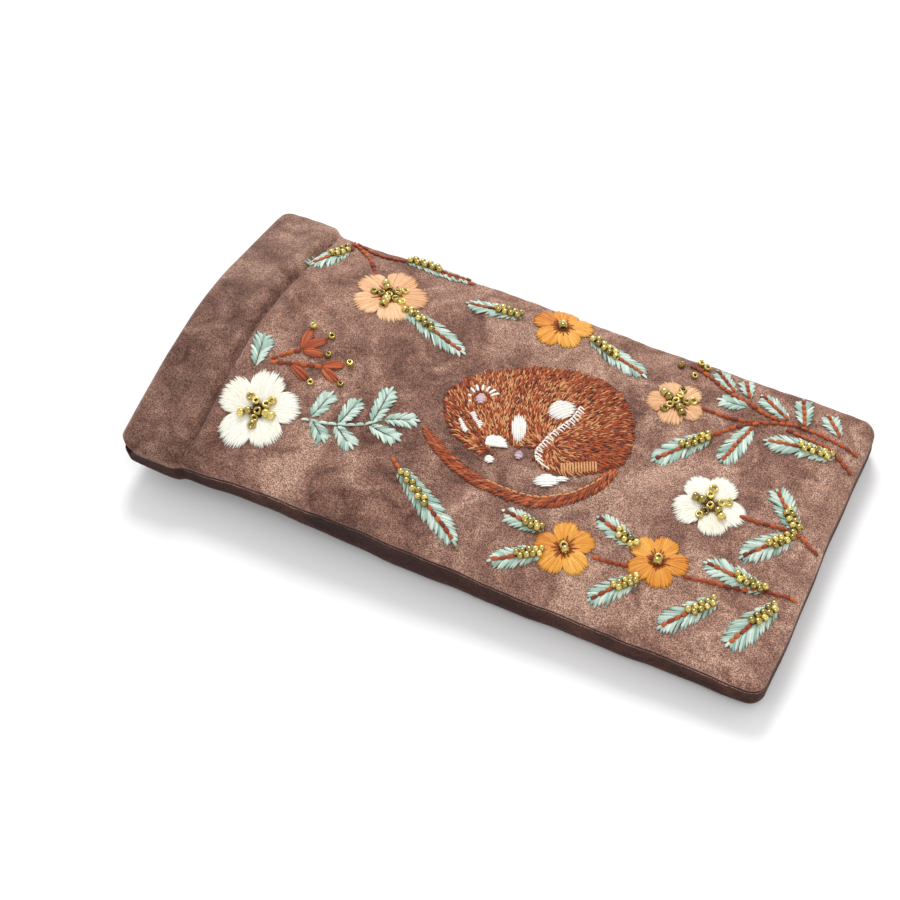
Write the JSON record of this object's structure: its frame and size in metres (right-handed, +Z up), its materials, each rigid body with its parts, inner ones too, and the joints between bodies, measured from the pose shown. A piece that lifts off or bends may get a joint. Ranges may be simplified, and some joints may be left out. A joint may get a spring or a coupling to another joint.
{
  "type": "soft pouch glasses case",
  "caption": "Soft embroidered velvet slip-in pouch for glasses, with a hidden squeeze-open spring frame in its mouth hem.",
  "frame": {"origin": "middle of the pouch's length and width, on the surface it lies on", "axes": "+X to the closed end, -X out of the mouth, +Y to the right seen from the front with the mouth at the top, +Z up out of the embroidered front"},
  "size_m": [0.185, 0.0966, 0.0259],
  "materials": {
    "velvet": "crushed velvet pile, mauve brown",
    "velvet_dark": "the same velvet, pile lying away from the light",
    "wadding": "soft foam wadding",
    "lining": "thin satin-woven lining",
    "hem_thread": "sewing thread",
    "cream_thread": "stranded embroidery thread",
    "peach_thread": "stranded embroidery thread",
    "orange_thread": "stranded embroidery thread",
    "mint_thread": "stranded embroidery thread",
    "rust_thread": "stranded embroidery thread",
    "brown_thread": "stranded embroidery thread",
    "white_thread": "stranded embroidery thread",
    "gold_bead": "gold-lined glass seed bead",
    "spring_steel": "bright spring steel"
  },
  "bodies": {
    "pouch": {"front_panel": "velvet", "back_panel": "velvet_dark", "front_padding": "wadding", "back_padding": "wadding", "front_lining": "lining", "back_lining": "lining", "front_hem_stitches": "hem_thread", "back_hem_stitches": "hem_thread", "cream_flowers": "cream_thread", "peach_flowers": "peach_thread", "orange_flowers": "orange_thread", "mint_leaves": "mint_thread", "rust_stems": "rust_thread", "rust_berries": "rust_thread", "mouse_body": "brown_thread", "mouse_tail": "brown_thread", "mouse_highlights": "white_thread", "seed_beads": "gold_bead"},
    "back_lip_right": {"back_casing_right": "velvet_dark", "back_spring_right": "spring_steel", "hinge_pin_right": "spring_steel"},
    "front_spring_right_body": {"front_spring_right": "spring_steel"},
    "front_lip_right": {"front_casing_right": "velvet"},
    "back_lip_left": {"back_casing_left": "velvet_dark", "back_spring_left": "spring_steel", "hinge_pin_left": "spring_steel"},
    "front_spring_left_body": {"front_spring_left": "spring_steel"},
    "front_lip_left": {"front_casing_left": "velvet"}
  },
  "joints": [
    {"name": "back_bend_right", "type": "hinge", "parent": "pouch", "child": "back_lip_right", "pos_m": [-0.08255, 0, 0.0026], "axis": [1, 0, 0], "range_deg": [-11.5, 8], "stiffness_Nm_per_rad": 0.12},
    {"name": "back_bend_left", "type": "hinge", "parent": "pouch", "child": "back_lip_left", "pos_m": [-0.08255, 0, 0.0026], "axis": [-1, 0, 0], "range_deg": [-11.5, 8]},
    {"name": "end_pin_right", "type": "hinge", "parent": "back_lip_right", "child": "front_spring_right_body", "pos_m": [-0.08255, 0.04442, 0.01245], "axis": [1, 0, 0], "range_deg": [-16, 23]},
    {"name": "front_lip_hinge_right", "type": "hinge", "parent": "pouch", "child": "front_lip_right", "pos_m": [-0.08255, 0.08854, 0.0223], "axis": [1, 0, 0], "range_deg": [-8, 11.5]},
    {"name": "end_pin_left", "type": "hinge", "parent": "back_lip_left", "child": "front_spring_left_body", "pos_m": [-0.08255, -0.04442, 0.01245], "axis": [-1, 0, 0], "range_deg": [-16, 23]},
    {"name": "front_lip_hinge_left", "type": "hinge", "parent": "pouch", "child": "front_lip_left", "pos_m": [-0.08255, -0.08854, 0.0223], "axis": [-1, 0, 0], "range_deg": [-8, 11.5]}
  ],
  "couplings": [
    {"joint": "back_bend_left", "follows": "back_bend_right", "ratio": 1},
    {"joint": "end_pin_right", "follows": "back_bend_right", "ratio": -2},
    {"joint": "front_lip_hinge_right", "follows": "back_bend_right", "ratio": -1},
    {"joint": "end_pin_left", "follows": "back_bend_right", "ratio": -2},
    {"joint": "front_lip_hinge_left", "follows": "back_bend_right", "ratio": -1}
  ]
}
